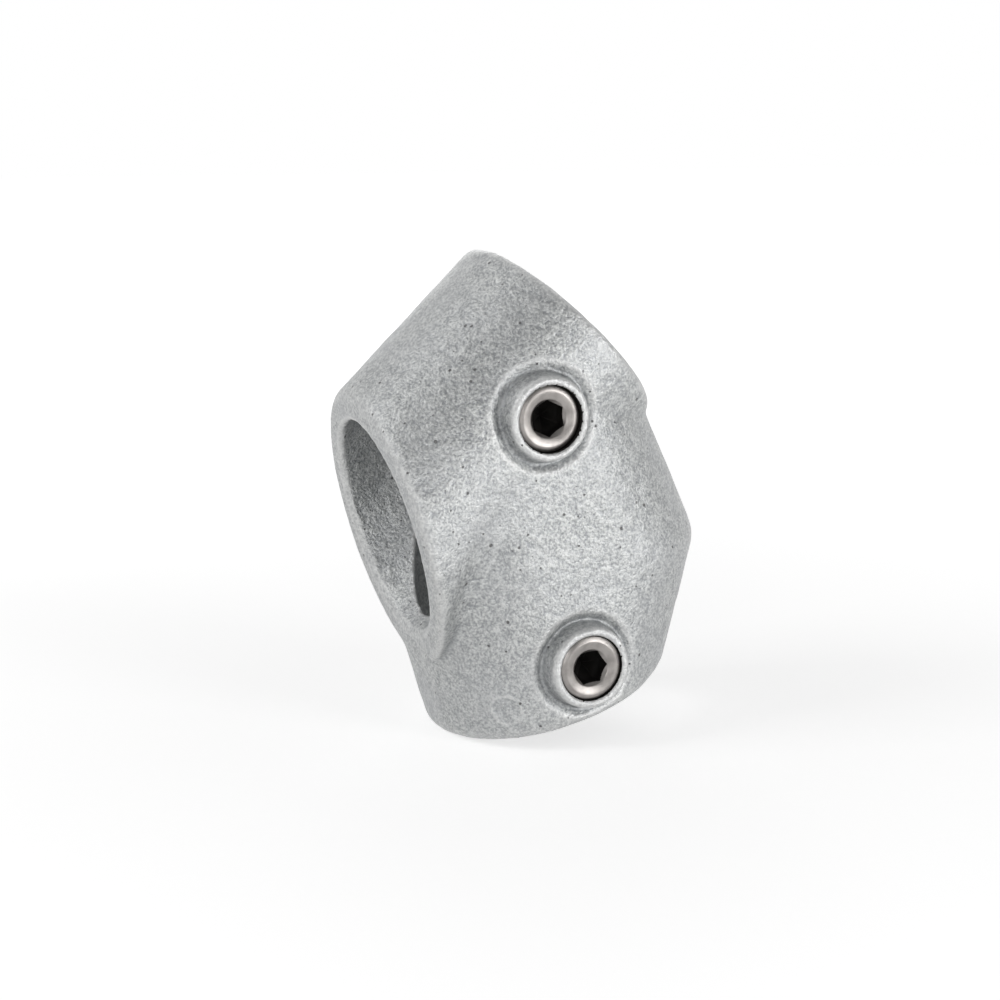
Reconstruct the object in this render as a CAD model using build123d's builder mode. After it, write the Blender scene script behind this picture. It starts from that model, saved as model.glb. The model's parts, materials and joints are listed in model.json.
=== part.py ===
"""Adjustable single-socket tube clamp tee, 30 to 60 degrees, for 48.3 mm scaffold tube.

The rail tube passes through the sleeve and the post tube ends in the swinging socket below it.
Frame: origin where the rail axis meets the socket axis at mid swing, +Z up that socket axis,
rail axis in the XZ plane, set screws facing -Y. All sizes are in millimetres and degrees.
"""

from build123d import *
import os
from math import atan, cos, degrees, radians, sin, tan

# Tube that the fitting takes, and the casting around it
tube_diameter = 48.3
bore_play = 1.2
wall = 6.25

# Socket swing, measured from the rail
mid_angle = 45
half_swing = 15
pivot_drop = 88.7
mouth_lip = 2.8

# Inset of the socket's flat sides, which keeps a narrow flat where the half-round walls run together
side_flat = 0.1

# Sleeve ends, along the rail from the crossing, and the draft that widens the sleeve downwards
upper_reach = 8.9
lower_reach = 61.1
sleeve_draft = 1.0

# Shoulder wall that closes the socket towards the upper sleeve end
shoulder_angle = 70
shoulder_offset = 11.9

# Draft that leans the socket's steep flank inwards below this rise over the pivot
flank_draft = 2.4
flank_draft_rise = 15.0

# Throat that centres the post tube at mid swing
throat_play = 2.5
throat_depth = 2.5

# Set screws, 3/8 inch pipe thread with a hexagon socket
screw_diameter = 16.66
screw_clearance = 0.1
tip_setback = 0.25
socket_flats = 8.0
socket_depth = 5.0
socket_bevel = 0.6
rail_socket_turn = 49
post_socket_turn = 20
rail_screw_reach = 16.6
post_screw_lift = 12.8
rail_screw_recess = 1.3
post_screw_recess = 0.4
screw_edge = 0.8
cup_radius = 4.5
cup_depth = 1.5

# Bosses round the screws, each in a shallow moat
boss_height = 3.6
boss_rim = 1.5
boss_draft = 8
hole_bevel = 0.4
moat_width = 3.6
moat_depth = 1.2

# Broken cast edges
rim_edge = 1.0
bore_edge = 1.2
mouth_edge = 2.2

bore_radius = (tube_diameter + bore_play) / 2
outer_radius = bore_radius + wall
throat_radius = (tube_diameter + throat_play) / 2
screw_radius = screw_diameter / 2
screw_length = boss_height + wall - rail_screw_recess - tip_setback
hole_radius = screw_radius + screw_clearance
boss_radius = hole_radius + boss_rim
moat_radius = boss_radius + moat_width
moat_slope = degrees(atan(moat_width / moat_depth))
boss_face = outer_radius + boss_height
steep_angle = mid_angle + half_swing
shallow_angle = mid_angle - half_swing
far = 4 * outer_radius  # longer than any wall, for profiles that run past the casting


def along(angle, length):
    """Point in the fitting plane, this far from the crossing at this angle to the rail."""
    return (length * cos(radians(angle)), length * sin(radians(angle)))


# Plane of the two tube axes: x runs up the rail, y away from the socket, z towards the screws
rail = (sin(radians(mid_angle)), 0, cos(radians(mid_angle)))
fitting = Plane(origin=(0, 0, 0), x_dir=rail, z_dir=(0, -1, 0))
rail_section = Plane(origin=(0, 0, 0), x_dir=-fitting.y_dir, z_dir=fitting.x_dir)
rail_axis = Axis(fitting.origin, fitting.x_dir)
pivot = along(mid_angle, -pivot_drop)
shoulder = along(shoulder_angle + 90, shoulder_offset)
rail_screw_at = (-rail_screw_reach, 0)
post_screw_at = along(mid_angle, post_screw_lift - pivot_drop)


def across(point, angle):
    """Plane square to a line in the fitting plane, through point, at this angle to the rail.

    Its x runs towards the screws and its y to the right of the line.
    """
    start = fitting.from_local_coords((*point, 0))
    direction = fitting.from_local_coords((*along(angle, 1), 0)) - fitting.origin
    return Plane(origin=start, x_dir=(0, -1, 0), z_dir=direction)


lower_end = across((-lower_reach, 0), steep_angle + 90)
mouth = across(pivot, steep_angle + 180).offset(mouth_lip)
flank_run = along(steep_angle, flank_draft_rise)
flank = (pivot[0] + flank_run[0], pivot[1] + flank_run[1])


def fan(radius, draft):
    """Flat-sided space below the rail axis, between three half-round walls at this radius from their axes.

    The draft leans the steep wall inwards towards the mouth.
    """
    rolled_walls = (
        (across(flank, steep_angle + draft), 1),
        (across(pivot, shallow_angle), -1),
        (across(shoulder, shoulder_angle), -1),
    )
    with BuildPart() as space:
        with BuildSketch(across((upper_reach, 0), 0)):
            Rectangle(2 * (radius - side_flat), far, align=(Align.CENTER, Align.MIN))
        extrude(amount=-far)
        for place, inward in rolled_walls:
            with BuildSketch(place):
                with Locations((0, inward * far / 2)):
                    SlotCenterToCenter(far, 2 * radius, rotation=90)
            extrude(amount=far, both=True, mode=Mode.INTERSECT)
    return space.part


with BuildPart() as tee_casting:
    # Sleeve round the rail tube, square at the top and slanted with the socket's steep wall at the bottom
    with BuildSketch(fitting):
        with BuildLine():
            Polyline(
                (upper_reach, 0),
                (upper_reach, rim_edge - outer_radius),
                (upper_reach - rim_edge, -outer_radius),
                (-far, -outer_radius - (far + upper_reach) * tan(radians(sleeve_draft))),
                (-far, 0),
                close=True,
            )
        make_face()
    revolve(axis=rail_axis)
    split(bisect_by=lower_end, keep=Keep.BOTTOM)
    chamfer(tee_casting.edges().filter_by(GeomType.ELLIPSE), rim_edge)

    # Socket body, with a broken mouth edge
    body = fan(outer_radius, flank_draft).split(mouth, keep=Keep.BOTTOM)
    lip = body.faces().sort_by(Axis(mouth.origin, mouth.z_dir))[-1].edges()
    add(body.chamfer(mouth_edge, None, lip).split(lower_end, keep=Keep.BOTTOM))

    # Rail bore, broken where it leaves the two sleeve ends
    with BuildSketch(rail_section):
        Circle(bore_radius)
    extrude(amount=far, both=True, mode=Mode.SUBTRACT)
    for way in (rail_axis, Axis(lower_end.origin, lower_end.z_dir)):
        end = tee_casting.faces().filter_by(GeomType.PLANE).sort_by(way)[-1]
        chamfer(end.inner_wires()[0].edges(), bore_edge)

    # Dished moat and drafted boss for each screw
    with BuildSketch(fitting.offset(outer_radius)):
        with Locations(rail_screw_at, post_screw_at):
            Circle(moat_radius)
    extrude(amount=-moat_depth, taper=moat_slope, mode=Mode.SUBTRACT)
    with BuildSketch(fitting.offset(boss_face)):
        with Locations(rail_screw_at, post_screw_at):
            Circle(boss_radius)
    extrude(amount=-(boss_height + wall / 2), taper=-boss_draft)

    # Socket cavity and throat
    add(fan(bore_radius, 0), mode=Mode.SUBTRACT)
    with BuildSketch(across(pivot, mid_angle + 180).offset(-throat_depth)):
        Circle(throat_radius)
    extrude(amount=far, mode=Mode.SUBTRACT)

    # Tapped holes, broken at the boss face
    with BuildSketch(fitting):
        with Locations(rail_screw_at, post_screw_at):
            Circle(hole_radius)
    extrude(amount=far, mode=Mode.SUBTRACT)
    boss_rims = tee_casting.edges().filter_by(GeomType.CIRCLE).group_by(Axis.Y)[0]
    chamfer(boss_rims.group_by(SortBy.LENGTH)[0], hole_bevel)

tee_casting.part.label = "tee_casting"
os.makedirs("parts", exist_ok=True)
export_step(tee_casting.part, "parts/tee_casting.step")

# Set screws, alike but for how far each is driven
for name, spot, recess, turn in (
    ("rail_set_screw", rail_screw_at, rail_screw_recess, rail_socket_turn),
    ("post_set_screw", post_screw_at, post_screw_recess, post_socket_turn),
):
    driven_face = fitting.offset(boss_face - recess)
    with BuildPart() as set_screw:
        with BuildSketch(driven_face):
            with Locations(spot):
                Circle(screw_radius)
        extrude(amount=-screw_length)
        chamfer(set_screw.edges().filter_by(GeomType.CIRCLE), screw_edge)
        with BuildSketch(driven_face):
            with Locations(spot):
                RegularPolygon(socket_flats / 2, 6, major_radius=False, rotation=turn)
        extrude(amount=-socket_depth, mode=Mode.SUBTRACT)
        with BuildSketch(driven_face):
            with Locations(spot):
                Circle(socket_flats / 2 + socket_bevel)
        extrude(amount=-2 * socket_bevel, taper=45, mode=Mode.SUBTRACT)
        with BuildSketch(driven_face.offset(-screw_length)):
            with Locations(spot):
                Circle(cup_radius)
        extrude(amount=cup_depth, taper=60, mode=Mode.SUBTRACT)
    set_screw.part.label = name
    export_step(set_screw.part, f"parts/{name}.step")
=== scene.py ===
"""Looks of the tube clamp tee: a hot-dip galvanised casting with two turned set screws.

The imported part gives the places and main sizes. Lengths are in metres, angles in degrees.
"""

import json
from math import cos, pi, radians, sin, tau

import bmesh
import bpy
import numpy as np
from mathutils import Matrix, Vector, noise


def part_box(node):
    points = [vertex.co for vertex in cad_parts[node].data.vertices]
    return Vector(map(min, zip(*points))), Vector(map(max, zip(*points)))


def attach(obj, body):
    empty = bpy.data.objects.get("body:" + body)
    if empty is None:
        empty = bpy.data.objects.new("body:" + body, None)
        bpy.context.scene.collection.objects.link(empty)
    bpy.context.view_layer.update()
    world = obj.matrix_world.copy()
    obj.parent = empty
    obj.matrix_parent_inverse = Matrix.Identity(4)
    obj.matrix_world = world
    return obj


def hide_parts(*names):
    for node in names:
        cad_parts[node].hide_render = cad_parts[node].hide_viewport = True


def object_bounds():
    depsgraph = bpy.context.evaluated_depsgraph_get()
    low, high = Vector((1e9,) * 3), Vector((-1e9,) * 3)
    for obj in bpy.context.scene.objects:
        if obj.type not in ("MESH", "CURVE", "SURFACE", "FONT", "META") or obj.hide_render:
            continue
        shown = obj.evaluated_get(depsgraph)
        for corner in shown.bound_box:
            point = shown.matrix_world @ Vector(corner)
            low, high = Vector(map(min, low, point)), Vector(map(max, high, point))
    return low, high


MM = 0.001

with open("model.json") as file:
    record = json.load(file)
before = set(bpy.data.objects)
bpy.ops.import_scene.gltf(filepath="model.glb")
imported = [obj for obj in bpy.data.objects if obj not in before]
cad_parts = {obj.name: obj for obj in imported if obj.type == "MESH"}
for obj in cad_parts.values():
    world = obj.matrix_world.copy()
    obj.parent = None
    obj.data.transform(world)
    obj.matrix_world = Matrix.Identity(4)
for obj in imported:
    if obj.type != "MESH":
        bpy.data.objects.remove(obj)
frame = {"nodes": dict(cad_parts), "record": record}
cad_low, cad_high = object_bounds()
mounts = {mount["name"]: mount for mount in frame["record"]["mounts"]}
rail = np.array(mounts["rail_bore"]["axis"])
bore_radius = mounts["rail_bore"]["dims"]["r_mm"] * MM
SCREW_OUT = np.array((0.0, -1.0, 0.0))  # way that the set screws face
SCREWS = ("rail_set_screw", "post_set_screw")

# Camera
CAMERA_AZIMUTH = -23.32
CAMERA_ELEVATION = 11.30
CAMERA_ROLL = 0.09
CAMERA_DISTANCE = 519.19 * MM
CAMERA_AIM = (-10.51 * MM, 0.0, -38.09 * MM)
CAMERA_LENS = 71.39  # in millimetres, as Blender takes it
CAMERA_NEAREST = 0.01

# Light
LAMP_DISTANCE = 1.2
LAMPS = (  # name, azimuth, elevation, size and power in watts
    ("right_softbox", 30, 6, 0.45, 6.0),
    ("front_softbox", -30, 6, 0.45, 2.6),
    ("left_softbox", -90, 35, 0.45, 2.7),
    ("rear_softbox", 160, 20, 0.6, 1.6),
)
ROOM_FILL = 0.25
ROOM_FRONT = 0.22  # of white, in metal on the camera's side
ROOM_FRONT_Y = -0.6  # way's Y from which the room is dim in metal
ROOM_BACK_Y = 0.3  # way's Y from which it is white
FLOOR_HALF = 4.0
FLOOR_SHADE = 0.7
FLOOR_LIFT_NEAR = 0.62  # glow that makes the floor white where it is well lit
FLOOR_LIFT_FAR = 0.84  # and where little lamp light falls
FLOOR_NEAR = 0.08
FLOOR_FAR = 0.6

# Casting
CASTING_VOXEL = 0.55 * MM
CASTING_FACES = 180000  # triangles kept in the end
RELAX_STEPS = (0.5, -0.52)  # in, and a little more out, so that nothing shrinks
BEND_STEP = 0.5
ROUNDS_TO_NORMALS = 5  # bending rounds from one reading of the normals to the next
RELAX_ROUNDS = 6
MOAT_RELAX_ROUNDS = 30
CREASE_ROUNDS = 10
WEAR_ROUNDS = 20
MITRE_ROUNDS = 100
MITRE_FROM = 9 * MM  # from the part's +X side, where the mitre's extra wear begins
MITRE_FULL = 3 * MM  # and where it is full
BORE_KEPT = 1.5 * MM  # past the rail bore, within which nothing is worn
BORE_CLEAR = 4 * MM  # and from which wear is full
BOSS_KEPT = 4.5 * MM  # the same past a screw
BOSS_CLEAR = 8 * MM
LIP_KEPT = 0.3 * MM  # the same for the casting's lumps
LIP_CLEAR = 1.0 * MM
HOLLOW_ROUNDS = 6
LUMPS = ((1, 7 * MM, 0.12 * MM), (2, 2.4 * MM, 0.05 * MM))  # seed, size and height
NOISE_STEPS = (17.3, 5.1, -9.7)  # how far one seed's noise is taken from the next one's
BEAD_SEED = 3
MARK_SEED = 4
# Strokes on the casting's front: two ends in X and Z, width and height
VALLEY = ((-27.5 * MM, -36.0 * MM), (-35.0 * MM, -68.0 * MM), 2.3 * MM, -0.65 * MM)
RIDGE = ((-20.8 * MM, -31.0 * MM), (-31.8 * MM, -69.0 * MM), 1.1 * MM, 0.42 * MM)
STROKE_FADE_IN = (-0.05, 0.45)
STROKE_FADE_OUT = (1.05, 0.8)
ROUND_MARK = (-19.3 * MM, -24.8 * MM, -87.3 * MM)
ROUND_MARK_RADIUS = 3.9 * MM
ROUND_MARK_WIDTH = 0.7 * MM
ROUND_MARK_HEIGHT = 0.38 * MM
ROUND_MARK_GAPS = 3 * MM
ROUND_MARK_MEAN = 0.6
ROUND_MARK_SPREAD = 0.9

# Bosses: radii from the screw's axis, depths below the boss face
BOSS_FACE = cad_low.y
BOSS_FOOT_RADIUS = 11.2 * MM
BOSS_FOOT_DEPTH = 6.0 * MM
BEAD_RADIUS = 9.5 * MM
BEAD_SIZE = 1.0 * MM
BEAD_POINTS = 9
BEAD_DEPTH = 4 * MM
BEAD_LUMP_SIZE = 1.7 * MM
BEAD_LUMP = 0.14 * MM
MOAT_FOOT = 11.5 * MM  # where the moat is deepest
MOAT_INNER = 0.8 * MM
MOAT_OUTER = 3.0 * MM
MOAT_EXTRA = 1.1 * MM
MOAT_REACH = 14 * MM  # depth down to which a vertex can belong to it
MOAT_MIDDLE = 13 * MM  # of the band that is evened out
MOAT_HALF = 2.4 * MM
HOLE_PLAY = 0.15 * MM
HOLE_WALL = 0.45 * MM  # past the screw, within which a vertex belongs to the hole's wall
HOLE_CLEAR = 4 * MM  # from the axis, inside which nothing does
HOLE_REACH = 15 * MM
LIP_ROUND = 0.4 * MM
THREAD_SHOWS = 0.3 * MM  # past the screw and below the face, where the hole's wall takes painted shade

# Set screws, 3/8 inch pipe thread: depths below the screw's face
SCREW_SEGMENTS = 120  # a multiple of six, so that the hexagon's corners fall on points
THREAD_PITCH = 1.337 * MM
THREAD_DEPTH = 0.6 * MM
THREAD_STEPS = 8  # rings to one turn of the thread
THREAD_START = 1.0 * MM
THREAD_FROM = 0.8 * MM
THREAD_FULL = 1.8 * MM
THREAD_END = 1.2 * MM  # above the tip
SOCKET_DRILL = 6.2 * MM
SOCKET_FLOOR = 5.2 * MM
SOCKET_WALL_TOP = 2.4 * MM
SOCKET_BEVEL = 0.8 * MM
SOCKET_BEVEL_DEPTH = 0.9 * MM
SOCKET_BEVEL_TOP = 0.02 * MM
SOCKET_SHADE_REACH = 0.08 * MM  # past the hexagon, up to which the socket takes painted shade
SOCKET_POINT = 0.02  # of the hexagon, left open at the point of the drilled cone
SOCKET_BEVEL_POINTS = 12
CAD_SOCKET_FLOOR = 5 * MM
CAD_FLOOR_NEAR = 0.1 * MM  # of that floor, within which a point is on it
CAD_CORNERS = (3 * MM, 5 * MM)  # radii between which the hexagon's corners lie
DISH_RADIUS = 6.9 * MM
DISH_DEPTH = 0.55 * MM
DISH_POINTS = 7
DISH_CURVE = 1.5
SHOULDER_RADIUS = 8.05 * MM
SHOULDER_DEPTH = 0.4 * MM
SHOULDER_SHARES = (0.06, 1)  # of the shoulder's width, at its first and last ring
SHOULDER_POINTS = 6
SHOULDER_CURVE = 1.4
SCREW_EDGE = 0.35 * MM
SCREW_EDGE_BENDS = (40, 90)
SCREW_EDGE_POINTS = 4
TIP_BEVEL = 0.8 * MM
TIP_RISE = 0.1 * MM
CUP_EDGE = 5.0 * MM
CUP_RADIUS = 4.5 * MM
CUP_FLOOR = 2.0 * MM
CUP_DEPTH = 1.4 * MM
CUP_POINT = 0.1 * MM

# Colours
ZINC_DARK = (0.30, 0.31, 0.32)
ZINC_LIGHT = (0.66, 0.67, 0.66)
ZINC_PATCH = (0.50, 0.51, 0.53)
# painted shade, which darkens the zinc in hollows, moats and creases
ZINC_PAINTED_SHADE = (0.20, 0.21, 0.22)
# lighter zinc on proud edges: partly wear, partly a painted highlight
ZINC_WEAR_AND_HIGHLIGHT = (0.78, 0.78, 0.77)
ZINC_PIT = (0.16, 0.16, 0.16)
STEEL_LIGHT = (0.36, 0.34, 0.325)
STEEL_DARK = (0.26, 0.245, 0.235)
# near black: partly oil on bare steel, partly painted shade in the socket and tapped holes
OIL_AND_SHADE_DARK = (0.004, 0.004, 0.004)
OIL_AND_SHADE_LIGHT = (0.02, 0.018, 0.016)

# Bump heights
ZINC_BUMP = 0.3 * MM
STEEL_BUMP = 0.02 * MM


def new_object(name, mesh):
    piece = bpy.data.objects.new(name, mesh)
    bpy.context.scene.collection.objects.link(piece)
    return piece


def applied(piece):
    """Replaces a piece's mesh by the result of its modifiers."""
    bpy.context.view_layer.update()
    evaluated = piece.evaluated_get(bpy.context.evaluated_depsgraph_get())
    piece.data = bpy.data.meshes.new_from_object(evaluated)
    piece.modifiers.clear()


def smoothstep(low, high, value):
    """Share from 0 at low to 1 at high, with soft ends; low may be the larger one."""
    share = np.clip((value - low) / (high - low), 0, 1)
    return share * share * (3 - 2 * share)


class Shape:
    """Vertex places of a piece, with the neighbours and normals that sculpting needs."""

    def __init__(self, piece):
        self.mesh = piece.data
        count = len(self.mesh.vertices)
        self.places = np.empty(count * 3)
        self.mesh.vertices.foreach_get("co", self.places)
        self.places = self.places.reshape(-1, 3)
        edges = np.empty(len(self.mesh.edges) * 2, dtype=np.int64)
        self.mesh.edges.foreach_get("vertices", edges)
        edges = edges.reshape(-1, 2)
        self.ends = np.concatenate((edges[:, 0], edges[:, 1]))
        self.others = np.concatenate((edges[:, 1], edges[:, 0]))
        self.degree = np.bincount(self.ends, minlength=count)

    def around(self, values):
        """Mean of a vertex value over each vertex's neighbours."""
        if values.ndim == 1:
            return np.bincount(self.ends, values[self.others], len(self.degree)) / self.degree
        return np.stack([self.around(column) for column in values.T], axis=1)

    def normals(self):
        """Unit normal at each vertex, as the places are now."""
        self.write()
        found = np.empty(len(self.places) * 3)
        self.mesh.vertex_normals.foreach_get("vector", found)
        return found.reshape(-1, 3)

    def write(self):
        self.mesh.vertices.foreach_set("co", self.places.ravel())
        self.mesh.update()

    def relax(self, rounds, mask=1.0):
        """Evens out steps without shrinking the shape."""
        mask = np.broadcast_to(mask, len(self.places))[:, None]
        for _ in range(rounds):
            for step in RELAX_STEPS:
                self.places += step * mask * (self.around(self.places) - self.places)

    def bend(self, rounds, mask, outwards):
        """Rounds hollow creases by filling them, or proud edges by wearing them down."""
        for turn in range(rounds):
            if turn % ROUNDS_TO_NORMALS == 0:
                normals = self.normals()
            pull = self.around(self.places) - self.places
            lift = np.einsum("ij,ij->i", pull, normals)
            lift = np.maximum(lift, 0) if outwards else np.minimum(lift, 0)
            self.places += BEND_STEP * (mask * lift)[:, None] * normals

    def keep_hollows(self, name):
        """Stores how hollow or proud the surface is at each vertex, as an attribute for the material,
        which paints shade into the hollows and lightens proud edges, partly as wear, partly as a painted
        highlight.
        """
        normals = self.normals()
        wide = self.places
        for _ in range(HOLLOW_ROUNDS):
            wide = self.around(wide)
        hollow = np.einsum("ij,ij->i", wide - self.places, normals)
        self.mesh.attributes.new(name, "FLOAT", "POINT").data.foreach_set("value", hollow / MM)


def distance_from_line(places, point, direction):
    """Distance of places from the line through a point with this unit direction."""
    offset = places - np.asarray(point)
    return np.linalg.norm(offset - np.outer(offset @ direction, direction), axis=1)


def screw_axis(node):
    """Middle of a CAD screw's driven face."""
    low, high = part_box(node)
    return np.array(((low.x + high.x) / 2, low.y, (low.z + high.z) / 2))


def screw_radius(node):
    """Outer radius of a CAD screw."""
    low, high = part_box(node)
    return (high.x - low.x) / 2


def noise_at(places, size, seed):
    """Smooth noise between about -1 and 1, with lumps of this size."""
    start = Vector([seed * step for step in NOISE_STEPS])
    return np.array([noise.noise(Vector(place) / size + start) for place in places])


def screw_offsets(places, node):
    """Depth of points below a screw's boss face, their distance from its axis, and the way out from it."""
    offset = places - screw_axis(node)
    depth = places[:, 1] - BOSS_FACE
    out = offset - np.outer(offset @ SCREW_OUT, SCREW_OUT)
    distance = np.linalg.norm(out, axis=1)
    return depth, distance, out / np.maximum(distance, 0.01 * MM)[:, None]


def hole_radius(node, depth):
    """Radius of the tapped hole, which opens with a rounded lip at the boss face."""
    share = np.clip(1 - depth / LIP_ROUND, 0, 1)
    return screw_radius(node) + HOLE_PLAY + LIP_ROUND * (1 - np.sqrt(1 - share * share))


def stroke(places, start, end, width, height):
    """Height of a soft stroke over the front of the casting, which fades in slowly and out sooner."""
    start = np.array(start)
    along = np.array(end) - start
    offset = places[:, (0, 2)] - start
    share = offset @ along / (along @ along)
    aside = abs(offset @ np.array((along[1], -along[0]))) / np.linalg.norm(along)
    fade = smoothstep(*STROKE_FADE_IN, share) * smoothstep(*STROKE_FADE_OUT, share)
    return np.where(places[:, 1] < 0, height * fade * np.exp(-((aside / width) ** 2)), 0)


def add_boss(mesh, node):
    """Adds a drafted ring with a rounded bead round a screw, which the remesh joins to the casting."""
    axis = screw_axis(node)
    section = []
    for roll in np.linspace(pi, 0, BEAD_POINTS):
        section.append((BEAD_RADIUS + BEAD_SIZE * cos(roll), BEAD_SIZE * (1 - sin(roll))))
    section.append((BOSS_FOOT_RADIUS, BOSS_FOOT_DEPTH))
    section.append((BEAD_RADIUS - BEAD_SIZE, BOSS_FOOT_DEPTH))
    shell = bmesh.new()
    shell.from_mesh(mesh)
    rows = []
    for step in range(SCREW_SEGMENTS):
        turn = step * tau / SCREW_SEGMENTS
        row = []
        for reach, sunk in section:
            place = (axis[0] + reach * cos(turn), BOSS_FACE + sunk, axis[2] + reach * sin(turn))
            row.append(shell.verts.new(place))
        rows.append(row)
    for one, two in zip(rows, rows[1:] + rows[:1]):
        for index in range(len(section)):
            beside = (index + 1) % len(section)
            shell.faces.new((one[index], two[index], two[beside], one[beside]))
    shell.to_mesh(mesh)
    shell.free()


def even_faces(piece):
    """Makes one closed skin of small even faces from the piece's shells."""
    remesh = piece.modifiers.new("even_faces", "REMESH")
    remesh.mode = "VOXEL"
    remesh.voxel_size = CASTING_VOXEL
    applied(piece)


def soften(shape):
    """Takes the steps out of the skin, fills its creases and wears its edges, most of all the mitre."""
    rail_distance = distance_from_line(shape.places, (0, 0, 0), rail)
    off_bores = smoothstep(bore_radius + BORE_KEPT, bore_radius + BORE_CLEAR, rail_distance)
    by_moats = np.zeros(len(shape.places))
    for node in SCREWS:
        depth, distance, _ = screw_offsets(shape.places, node)
        off_bores *= smoothstep(BOSS_KEPT, BOSS_CLEAR, distance - screw_radius(node))
        by_moats += (abs(distance - MOAT_MIDDLE) < MOAT_HALF) & (depth < MOAT_REACH)
    shape.relax(RELAX_ROUNDS)
    shape.relax(MOAT_RELAX_ROUNDS, by_moats)
    shape.bend(CREASE_ROUNDS, off_bores, outwards=True)
    shape.bend(WEAR_ROUNDS, off_bores, outwards=False)
    mitre = smoothstep(cad_high.x - MITRE_FROM, cad_high.x - MITRE_FULL, shape.places[:, 0])
    shape.bend(MITRE_ROUNDS, mitre, outwards=False)


def round_mark(places):
    """Height of the faint round mark near the mouth, which fades in and out along its ring."""
    distance = np.linalg.norm(places - np.array(ROUND_MARK), axis=1)
    ring = np.exp(-(((distance - ROUND_MARK_RADIUS) / ROUND_MARK_WIDTH) ** 2))
    strength = ROUND_MARK_MEAN + ROUND_MARK_SPREAD * noise_at(places, ROUND_MARK_GAPS, MARK_SEED)
    return ROUND_MARK_HEIGHT * ring * strength


def carve(shape):
    """Deepens the moats and adds the casting's lumps, its valley and ridge, and the round mark."""
    normals = shape.normals()
    lumps = np.zeros(len(shape.places))
    for seed, size, height in LUMPS:
        lumps += height * noise_at(shape.places, size, seed)
    off_screws = np.ones(len(shape.places))
    for node in SCREWS:
        _, distance, _ = screw_offsets(shape.places, node)
        off_screws *= smoothstep(LIP_KEPT, LIP_CLEAR, distance - screw_radius(node))
    for node in SCREWS:
        depth, distance, _ = screw_offsets(shape.places, node)
        inner = smoothstep(MOAT_FOOT - MOAT_INNER, MOAT_FOOT, distance)
        outer = smoothstep(MOAT_FOOT + MOAT_OUTER, MOAT_FOOT, distance)
        shape.places[:, 1] += np.where(depth < MOAT_REACH, MOAT_EXTRA * inner * outer, 0)
        on_bead = (depth < BEAD_DEPTH) & (distance < BEAD_RADIUS + BEAD_SIZE)
        lumps += np.where(on_bead, BEAD_LUMP * noise_at(shape.places, BEAD_LUMP_SIZE, BEAD_SEED), 0)
    lumps += stroke(shape.places, *VALLEY) + stroke(shape.places, *RIDGE)
    lumps += round_mark(shape.places)
    shape.places += (lumps * off_screws)[:, None] * normals


def true_holes(shape):
    """Brings the tapped holes' walls back to round, with a rounded lip."""
    for node in SCREWS:
        depth, distance, way = screw_offsets(shape.places, node)
        by_wall = (distance < screw_radius(node) + HOLE_WALL) & (distance > HOLE_CLEAR)
        in_hole = by_wall & (depth < HOLE_REACH)
        wanted = hole_radius(node, depth)
        shape.places += np.where(in_hole, wanted - distance, 0)[:, None] * way
    shape.write()


def fewer_faces(piece):
    """Thins the skin out where it is smooth."""
    fewer = piece.modifiers.new("fewer_faces", "DECIMATE")
    fewer.ratio = min(1, CASTING_FACES / (2 * len(piece.data.polygons)))
    applied(piece)


def paint_thread_shade(mesh):
    """Gives the tapped holes' walls the second material, near black: partly oil, partly painted shade."""
    centres = np.empty(len(mesh.polygons) * 3)
    mesh.polygons.foreach_get("center", centres)
    in_thread = np.zeros(len(mesh.polygons), dtype=bool)
    for node in SCREWS:
        depth, distance, _ = screw_offsets(centres.reshape(-1, 3), node)
        by_wall = distance < screw_radius(node) + THREAD_SHOWS
        in_thread |= by_wall & (depth > THREAD_SHOWS) & (depth < HOLE_REACH)
    mesh.polygons.foreach_set("material_index", in_thread.astype(np.int32))


def make_casting():
    """Dresses a copy of the CAD casting: one fine skin, sculpted in code, with a zinc finish."""
    piece = new_object("galvanised_casting", frame["nodes"]["tee_casting"].data.copy())
    for node in SCREWS:
        add_boss(piece.data, node)
    even_faces(piece)
    shape = Shape(piece)
    soften(shape)
    carve(shape)
    shape.keep_hollows("hollow")
    true_holes(shape)
    fewer_faces(piece)
    piece.data.shade_smooth()
    piece.data.materials.clear()
    piece.data.materials.append(galvanised())
    piece.data.materials.append(oil_and_shade_steel())
    paint_thread_shade(piece.data)
    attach(piece, "root")
    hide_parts("tee_casting")


def socket_corner(node):
    """Radius and angle of one corner of the CAD screw's hexagon socket."""
    axis = screw_axis(node)
    points = np.array([vertex.co for vertex in frame["nodes"][node].data.vertices]) - axis
    radii = np.hypot(points[:, 0], points[:, 2])
    on_floor = abs(points[:, 1] - CAD_SOCKET_FLOOR) < CAD_FLOOR_NEAR
    on_floor &= (radii > CAD_CORNERS[0]) & (radii < CAD_CORNERS[1])
    corner = max(points[on_floor], key=lambda point: np.hypot(point[0], point[2]))
    return np.hypot(corner[0], corner[2]), np.arctan2(corner[2], corner[0])


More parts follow.
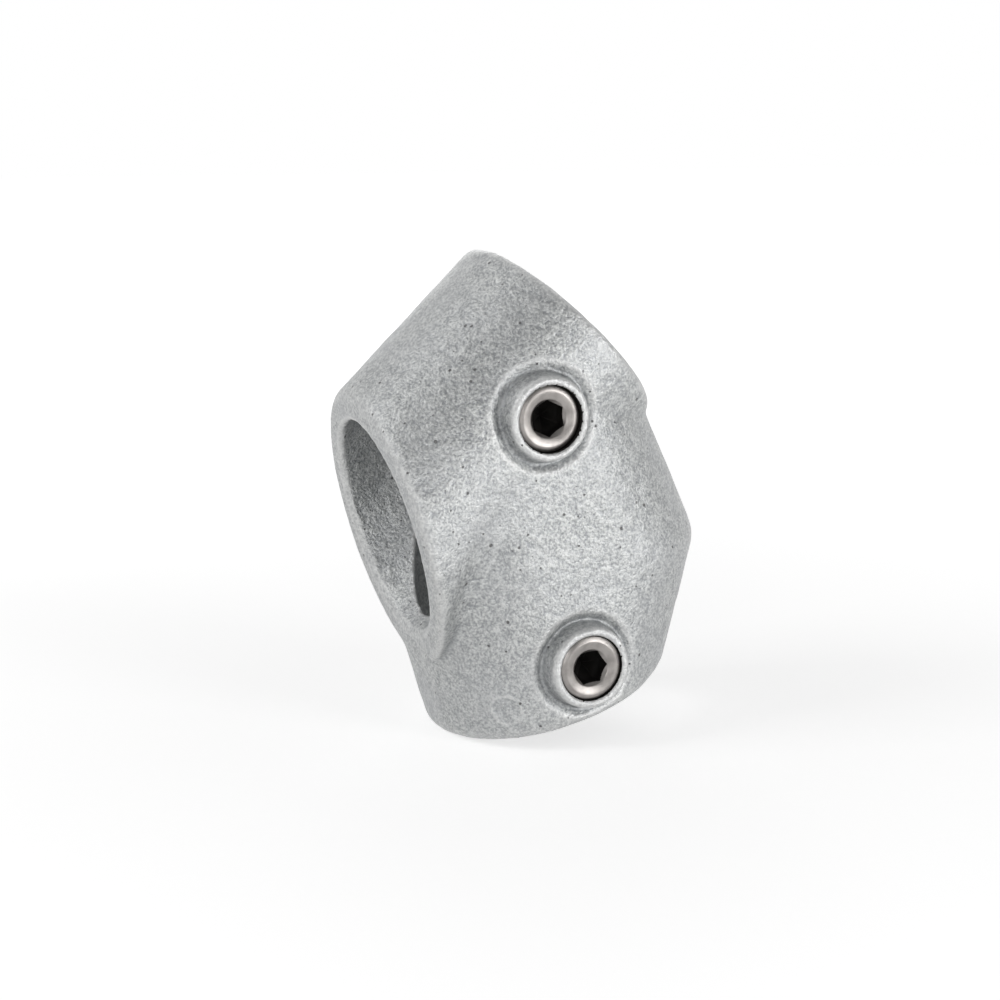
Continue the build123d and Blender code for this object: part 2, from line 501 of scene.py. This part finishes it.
def screw_rings(node, turn, hexagon, flat):
    """Rings of the turned screw, each its radii and depth, and the rows where socket and face end.

    They run from the socket's floor up the hexagon, over the dished face and down the thread to the cup.
    """
    low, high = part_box(node)
    length = high.y - low.y
    radius = screw_radius(node)
    bevel = flat + SOCKET_BEVEL
    rings = [(SOCKET_POINT * hexagon, SOCKET_DRILL), (hexagon, SOCKET_FLOOR), (hexagon, SOCKET_WALL_TOP)]
    for sunk in np.linspace(SOCKET_BEVEL_DEPTH, SOCKET_BEVEL_TOP, SOCKET_BEVEL_POINTS):
        rings.append((np.maximum(hexagon, bevel - sunk), DISH_DEPTH + sunk))
    socket_rows = len(rings) - 2
    for share in np.linspace(0, 1, DISH_POINTS):
        rings.append((bevel + share * (DISH_RADIUS - bevel), DISH_DEPTH * (1 - share) ** DISH_CURVE))
    for share in np.linspace(*SHOULDER_SHARES, SHOULDER_POINTS):
        reach = DISH_RADIUS + share * (SHOULDER_RADIUS - DISH_RADIUS)
        rings.append((reach, SHOULDER_DEPTH * share ** SHOULDER_CURVE))
    for rise in np.linspace(*SCREW_EDGE_BENDS, SCREW_EDGE_POINTS):
        bend = radians(rise)
        sunk = SHOULDER_DEPTH + SCREW_EDGE * (1 - cos(bend))
        rings.append((radius - SCREW_EDGE * (1 - sin(bend)), sunk))
    face_rows = len(rings) - 2
    for depth in np.arange(THREAD_START, length - THREAD_END, THREAD_PITCH / THREAD_STEPS):
        wave = 0.5 - 0.5 * np.cos(tau * (depth / THREAD_PITCH) - turn)
        rings.append((radius - THREAD_DEPTH * wave * smoothstep(THREAD_FROM, THREAD_FULL, depth), depth))
    rings.append((radius - TIP_BEVEL, length - TIP_RISE))
    rings.append((CUP_EDGE, length))
    rings.append((CUP_RADIUS, length - TIP_RISE))
    rings.append((CUP_FLOOR, length - CUP_DEPTH))
    rings.append((CUP_POINT, length - CUP_DEPTH - TIP_RISE))
    return rings, socket_rows, face_rows


def make_screw(node):
    """Turned screw with a rolled thread, whose hexagon is as large and stands as in the CAD."""
    corner_radius, corner_angle = socket_corner(node)
    flat = corner_radius * cos(pi / 6)
    turn = np.arange(SCREW_SEGMENTS) * tau / SCREW_SEGMENTS
    hexagon = flat / np.cos(turn % (pi / 3) - pi / 6)
    rings, socket_rows, face_rows = screw_rings(node, turn, hexagon, flat)

    angles = corner_angle + turn
    places = []
    for ring, depth in rings:
        radii = np.broadcast_to(ring, SCREW_SEGMENTS)
        places += zip(radii * np.cos(angles), np.full(SCREW_SEGMENTS, depth), radii * np.sin(angles))
    faces = [tuple(range(SCREW_SEGMENTS - 1, -1, -1))]
    for row in range(len(rings) - 1):
        for step in range(SCREW_SEGMENTS):
            here = row * SCREW_SEGMENTS + step
            beside = row * SCREW_SEGMENTS + (step + 1) % SCREW_SEGMENTS
            faces.append((here, here + SCREW_SEGMENTS, beside + SCREW_SEGMENTS, beside))
    faces.append(tuple(range(len(places) - SCREW_SEGMENTS, len(places))))
    mesh = bpy.data.meshes.new(f"{node}_threaded")
    mesh.from_pydata(places, [], faces)
    mesh.shade_smooth()
    mesh.materials.append(turned_steel())
    mesh.materials.append(oil_and_shade_steel())
    for face in mesh.polygons:
        row, step = divmod(face.index - 1, SCREW_SEGMENTS)
        x, _, z = places[face.vertices[1]]
        in_socket = row < socket_rows and np.hypot(x, z) < hexagon[step] + SOCKET_SHADE_REACH
        # socket and thread take the near-black steel: partly oil, partly painted shade
        face.material_index = 1 if in_socket or row >= face_rows else 0
    piece = new_object(f"{node}_threaded", mesh)
    piece.location = screw_axis(node)
    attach(piece, "root")
    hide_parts(node)


def principled(name):
    """New node material, with its tree and its Principled shader."""
    material = bpy.data.materials.new(name)
    material.use_nodes = True
    return material, material.node_tree, material.node_tree.nodes["Principled BSDF"]


def object_place(tree):
    """Place in the object's own coordinates, so that a pattern stays on it."""
    return tree.nodes.new("ShaderNodeTexCoord").outputs["Object"]


def texture(tree, kind, place, **settings):
    """Texture node that reads a place and has these input values."""
    node = tree.nodes.new(f"ShaderNodeTex{kind}")
    for name, value in settings.items():
        node.inputs[name].default_value = value
    tree.links.new(place, node.inputs["Vector"])
    return node


def spread(tree, value, low, high, to_low=0.0, to_high=1.0):
    """Value brought from one range to another, and held at its ends."""
    node = tree.nodes.new("ShaderNodeMapRange")
    node.inputs["From Min"].default_value = low
    node.inputs["From Max"].default_value = high
    node.inputs["To Min"].default_value = to_low
    node.inputs["To Max"].default_value = to_high
    tree.links.new(value, node.inputs["Value"])
    return node.outputs[0]


def maths(tree, operation, first, second, clamp=False):
    """Result of a maths node on two values, each a socket or a number."""
    node = tree.nodes.new("ShaderNodeMath")
    node.operation = operation
    node.use_clamp = clamp
    for socket, value in zip(node.inputs, (first, second)):
        if isinstance(value, (int, float)):
            socket.default_value = value
        else:
            tree.links.new(value, socket)
    return node.outputs[0]


def mixed(tree, share, first, second):
    """Mix of two colours, each a socket or an RGB triple."""
    node = tree.nodes.new("ShaderNodeMix")
    node.data_type = "RGBA"
    tree.links.new(share, node.inputs["Factor"])
    for socket, value in zip((node.inputs[6], node.inputs[7]), (first, second)):
        if isinstance(value, tuple):
            socket.default_value = (*value, 1)
        else:
            tree.links.new(value, socket)
    return node.outputs[2]


def add_bump(tree, shader, height, distance, strength):
    """Links a height, which is distance at 1, to the shader's normal."""
    bump = tree.nodes.new("ShaderNodeBump")
    bump.inputs["Distance"].default_value = distance
    bump.inputs["Strength"].default_value = strength
    tree.links.new(height, bump.inputs["Height"])
    tree.links.new(bump.outputs["Normal"], shader.inputs["Normal"])


def galvanised():
    """Hot-dip zinc on a sand-cast skin: fine crystals, soft mottling and scattered pits, with painted
    shade in the hollows and proud edges lightened, partly as wear, partly as a painted highlight.
    """
    material, tree, shader = principled("galvanised")
    shader.inputs["Metallic"].default_value = 0.6
    place = object_place(tree)
    grain = texture(tree, "Noise", place, Scale=1500, Detail=3, Roughness=0.6).outputs["Fac"]
    mottle = texture(tree, "Noise", place, Scale=420, Detail=3).outputs["Fac"]
    patches = texture(tree, "Noise", place, Scale=60, Detail=2).outputs["Fac"]
    cells = texture(tree, "Voronoi", place, Scale=420, Randomness=1.0)
    some_cells = texture(tree, "Noise", place, Scale=260, Detail=1).outputs["Fac"]
    pit_size = spread(tree, some_cells, 0.42, 0.72, 0.0, 0.24)
    pits = spread(tree, maths(tree, "SUBTRACT", pit_size, cells.outputs["Distance"]), 0.0, 0.08)
    softer = spread(tree, mottle, 0.3, 0.7, -0.22, 0.22)
    tone = maths(tree, "ADD", spread(tree, grain, 0.36, 0.64), softer)
    zinc = mixed(tree, tone, ZINC_DARK, ZINC_LIGHT)
    zinc = mixed(tree, spread(tree, patches, 0.35, 0.7, 0.0, 0.3), zinc, ZINC_PATCH)
    hollow = tree.nodes.new("ShaderNodeAttribute")
    hollow.attribute_name = "hollow"
    hollow = hollow.outputs["Fac"]
    # painted shade in the hollows
    zinc = mixed(tree, spread(tree, hollow, 0.02, 0.16, 0.0, 0.4), zinc, ZINC_PAINTED_SHADE)
    # proud edges lighter: partly wear, partly a painted highlight
    zinc = mixed(tree, spread(tree, hollow, -0.02, -0.16, 0.0, 0.5), zinc, ZINC_WEAR_AND_HIGHLIGHT)
    tree.links.new(mixed(tree, pits, zinc, ZINC_PIT), shader.inputs["Base Color"])
    tree.links.new(spread(tree, grain, 0.3, 0.7, 0.36, 0.5), shader.inputs["Roughness"])
    height = maths(tree, "ADD", grain, maths(tree, "MULTIPLY", mottle, 1.7))
    height = maths(tree, "SUBTRACT", height, pits)
    add_bump(tree, shader, height, ZINC_BUMP, 0.8)
    return material


def turned_steel():
    """Bright steel with the fine rings of the turning tool."""
    material, tree, shader = principled("turned_steel")
    shader.inputs["Metallic"].default_value = 1.0
    shader.inputs["Roughness"].default_value = 0.34
    place = object_place(tree)
    rings = texture(tree, "Wave", place, Scale=1300, Distortion=0.6)
    rings.wave_type = "RINGS"
    rings.rings_direction = "Y"
    smears = texture(tree, "Noise", place, Scale=350, Detail=3).outputs["Fac"]
    steel = mixed(tree, spread(tree, smears, 0.35, 0.7), STEEL_LIGHT, STEEL_DARK)
    tree.links.new(steel, shader.inputs["Base Color"])
    add_bump(tree, shader, rings.outputs["Fac"], STEEL_BUMP, 0.5)
    return material


def oil_and_shade_steel():
    """Oily steel of the hexagon socket and the thread, near black: partly oil, partly painted shade."""
    material, tree, shader = principled("oil_and_shade_steel")
    shader.inputs["Metallic"].default_value = 0.2
    shader.inputs["Specular IOR Level"].default_value = 0.2
    place = object_place(tree)
    oil = texture(tree, "Noise", place, Scale=500, Detail=2).outputs["Fac"]
    tree.links.new(mixed(tree, oil, OIL_AND_SHADE_DARK, OIL_AND_SHADE_LIGHT), shader.inputs["Base Color"])
    tree.links.new(spread(tree, oil, 0.3, 0.7, 0.45, 0.7), shader.inputs["Roughness"])
    return material


def way_at(azimuth, elevation):
    """Direction from the part, whose front faces -Y, at this azimuth and elevation."""
    azimuth, elevation = radians(azimuth), radians(elevation)
    return Vector((sin(azimuth) * cos(elevation), -cos(azimuth) * cos(elevation), sin(elevation)))


def make_camera():
    """Camera at the photograph's viewing angle."""
    back = way_at(CAMERA_AZIMUTH, CAMERA_ELEVATION)
    level = Vector((cos(radians(CAMERA_AZIMUTH)), sin(radians(CAMERA_AZIMUTH)), 0))
    right = Matrix.Rotation(radians(CAMERA_ROLL), 3, back) @ level
    turn = Matrix((right, back.cross(right), back)).transposed()
    data = bpy.data.cameras.new("camera")
    data.lens = CAMERA_LENS
    data.clip_start = CAMERA_NEAREST
    camera = new_object("camera", data)
    camera.matrix_world = Matrix.Translation(Vector(CAMERA_AIM) + back * CAMERA_DISTANCE) @ turn.to_4x4()
    bpy.context.scene.camera = camera


def blended(tree, share, first, second):
    """Mix of two shaders."""
    node = tree.nodes.new("ShaderNodeMixShader")
    tree.links.new(share, node.inputs["Fac"])
    tree.links.new(first, node.inputs[1])
    tree.links.new(second, node.inputs[2])
    return node.outputs[0]


def ray_flags(tree):
    """Flags of rays from the camera, and of rays that metal or glass sends on."""
    path = tree.nodes.new("ShaderNodeLightPath").outputs
    in_metal = maths(tree, "ADD", path["Is Glossy Ray"], path["Is Transmission Ray"], clamp=True)
    return path["Is Camera Ray"], in_metal


def make_world():
    """Soft room, white to the eye; metal sees it white behind the part and dim on its front side."""
    world = bpy.data.worlds.new("studio")
    bpy.context.scene.world = world
    world.use_nodes = True
    tree = world.node_tree
    fill = tree.nodes["Background"]
    mirrored = tree.nodes.new("ShaderNodeBackground")
    white = tree.nodes.new("ShaderNodeBackground")
    for background in (fill, mirrored, white):
        background.inputs["Color"].default_value = (1, 1, 1, 1)
    fill.inputs["Strength"].default_value = ROOM_FILL
    way = tree.nodes.new("ShaderNodeSeparateXYZ")
    tree.links.new(tree.nodes.new("ShaderNodeTexCoord").outputs["Generated"], way.inputs[0])
    shade = spread(tree, way.outputs["Y"], ROOM_FRONT_Y, ROOM_BACK_Y, ROOM_FRONT, 1.0)
    shade.node.interpolation_type = "SMOOTHSTEP"
    tree.links.new(shade, mirrored.inputs["Strength"])
    from_camera, in_metal = ray_flags(tree)
    room = blended(tree, in_metal, fill.outputs[0], mirrored.outputs[0])
    room = blended(tree, from_camera, room, white.outputs[0])
    tree.links.new(room, tree.nodes["World Output"].inputs["Surface"])


def make_floor():
    """Pale floor at the part's lowest point, lifted to white where nothing shades it."""
    level = cad_low.z
    mesh = bpy.data.meshes.new("floor")
    corners = [(x * FLOOR_HALF, y * FLOOR_HALF, level) for x, y in ((-1, -1), (1, -1), (1, 1), (-1, 1))]
    mesh.from_pydata(corners, [], [(0, 1, 2, 3)])
    floor = new_object("floor", mesh)
    material, tree, shader = principled("pale_floor")
    shader.inputs["Base Color"].default_value = (FLOOR_SHADE, FLOOR_SHADE, FLOOR_SHADE, 1)
    shader.inputs["Roughness"].default_value = 0.9
    shader.inputs["Specular IOR Level"].default_value = 0.0
    seen = maths(tree, "ADD", *ray_flags(tree), clamp=True)
    from_part = tree.nodes.new("ShaderNodeVectorMath")
    from_part.operation = "DISTANCE"
    middle = (cad_low + cad_high) / 2
    from_part.inputs[1].default_value = (middle.x, middle.y, level)
    tree.links.new(object_place(tree), from_part.inputs[0])
    away = from_part.outputs["Value"]
    lift = spread(tree, away, FLOOR_NEAR, FLOOR_FAR, FLOOR_LIFT_NEAR, FLOOR_LIFT_FAR)
    glow = tree.nodes.new("ShaderNodeEmission")
    tree.links.new(maths(tree, "MULTIPLY", seen, lift), glow.inputs["Strength"])
    both = tree.nodes.new("ShaderNodeAddShader")
    tree.links.new(shader.outputs[0], both.inputs[0])
    tree.links.new(glow.outputs[0], both.inputs[1])
    tree.links.new(both.outputs[0], tree.nodes["Material Output"].inputs["Surface"])
    mesh.materials.append(material)


def make_lamp(name, azimuth, elevation, size, power):
    """Soft square lamp that looks at the middle of the part."""
    way = way_at(azimuth, elevation)
    data = bpy.data.lights.new(name, "AREA")
    data.size = size
    data.energy = power
    lamp = new_object(name, data)
    lamp.location = (cad_low + cad_high) / 2 + way * LAMP_DISTANCE
    lamp.rotation_euler = way.to_track_quat("Z", "Y").to_euler()


make_camera()
make_world()
make_floor()
for lamp in LAMPS:
    make_lamp(*lamp)
make_casting()
for node in SCREWS:
    make_screw(node)

scene = bpy.context.scene
scene.view_settings.view_transform = "Standard"
